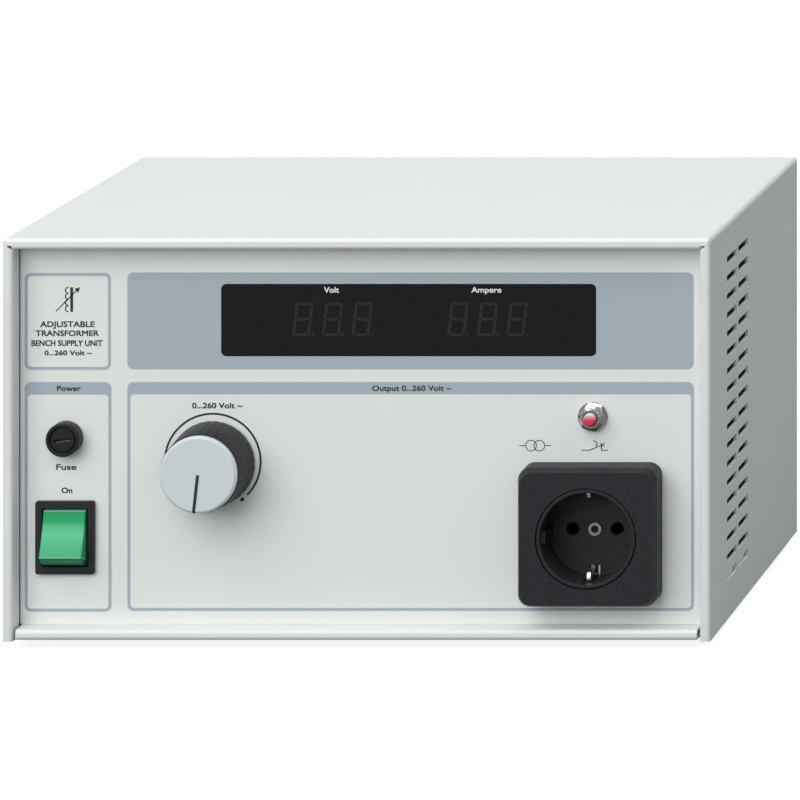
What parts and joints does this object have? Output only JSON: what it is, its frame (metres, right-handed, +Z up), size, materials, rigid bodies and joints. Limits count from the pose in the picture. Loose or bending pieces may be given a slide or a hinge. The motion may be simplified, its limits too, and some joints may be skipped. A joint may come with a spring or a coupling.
{
  "type": "adjustable mains transformer",
  "caption": "Bench adjustable transformer: folded sheet case, voltage knob on a ring winding with a brush, twin meter, fuse, rocker switch, reset button and earthed mains outlet.",
  "frame": {"origin": "centre of the whole outline in X and Y, on the plane that the feet stand on", "axes": "+Z up, front panel faces -Y, +X to the right as seen from the front"},
  "size_m": [0.3, 0.2054, 0.175],
  "materials": {
    "hood_paint": "fine textured pale grey powder coat",
    "tray_paint": "fine textured pale grey powder coat",
    "panel_metal": "plain sheet",
    "panel_print": "satin printed foil, light grey with blue-grey fields",
    "smoked_window": "smoked acrylic",
    "board_green": "solder mask",
    "digit_plastic": "dark display block",
    "bright_steel": "zinc plated",
    "nickel": "bright nickel plate",
    "brass_parts": "plain brass",
    "black_plastic": "moulded, fine spark texture",
    "rocker_green": "translucent green moulding",
    "button_red": "moulded red",
    "cap_grey": "satin light grey moulding",
    "phenolic": "brown moulded phenolic",
    "copper_wire": "enamelled copper wire",
    "core_steel": "wound strip steel",
    "carbon": "pressed carbon",
    "fuse_glass": "clear glass tube",
    "foot_rubber": "moulded black rubber",
    "terminal_plastic": "natural polyamide"
  },
  "bodies": {
    "case": {"hood": "hood_paint", "hood_screws": "bright_steel", "base_tray": "tray_paint", "front_panel": "panel_metal", "panel_overlay": "panel_print", "display_window": "smoked_window", "display_board": "board_green", "volt_digits": "digit_plastic", "amp_digits": "digit_plastic", "display_standoffs": "brass_parts", "display_screws": "bright_steel", "meter_transformer": "black_plastic", "fuse_holder": "black_plastic", "fuse_holder_nut": "black_plastic", "fuse_holder_tags": "bright_steel", "switch_housing": "black_plastic", "switch_tags": "bright_steel", "breaker_body": "black_plastic", "breaker_bushing": "nickel", "breaker_nut": "nickel", "breaker_tags": "bright_steel", "socket_cover": "black_plastic", "socket_insert": "black_plastic", "socket_base": "terminal_plastic", "socket_contacts": "brass_parts", "earth_clip": "nickel", "socket_screw": "nickel", "toroid_core": "core_steel", "input_winding": "copper_wire", "output_winding": "copper_wire", "contact_track": "copper_wire", "front_clamp": "phenolic", "rear_clamp": "phenolic", "transformer_bracket": "bright_steel", "clamp_bolts": "bright_steel", "bracket_screws": "bright_steel", "bearing_bushes": "brass_parts", "stop_peg": "bright_steel", "rear_panel": "tray_paint", "inlet_body": "black_plastic", "inlet_pins": "nickel", "inlet_screws": "bright_steel", "earth_stud": "brass_parts", "terminal_block": "terminal_plastic", "feet": "foot_rubber", "foot_screws": "bright_steel", "foot_nuts": "bright_steel"},
    "rotor": {"drive_shaft": "bright_steel", "brush_hub": "phenolic", "brush_arm": "brass_parts", "brush_holder": "brass_parts", "carbon_brush": "carbon", "knob_collet": "brass_parts", "knob_body": "black_plastic", "knob_cap": "cap_grey"},
    "rocker": {"power_rocker": "rocker_green"},
    "reset": {"reset_button": "button_red"},
    "fuse_link": {"fuse_tube": "fuse_glass", "fuse_end_caps": "nickel"},
    "carrier_cap": {"fuse_cap": "black_plastic"}
  },
  "joints": [
    {"name": "knob_turn", "type": "hinge", "parent": "case", "child": "rotor", "pos_m": [-0.0635, -0.018, 0.0777], "axis": [0, 1, 0], "range_deg": [0, 316]},
    {"name": "rocker_tip", "type": "hinge", "parent": "case", "child": "rocker", "pos_m": [-0.1258, -0.08015, 0.0465], "axis": [1, 0, 0], "range_deg": [0, 39]},
    {"name": "reset_pop", "type": "slide", "parent": "case", "child": "reset", "axis": [0, -1, 0], "range_m": [0, 0.0045]},
    {"name": "fuse_pull", "type": "slide", "parent": "case", "child": "fuse_link", "axis": [0, -1, 0], "range_m": [0, 0.04]},
    {"name": "cap_turn", "type": "hinge", "parent": "fuse_link", "child": "carrier_cap", "pos_m": [-0.1256, -0.0834, 0.0888], "axis": [0, -1, 0], "range_deg": [0, 60]}
  ]
}
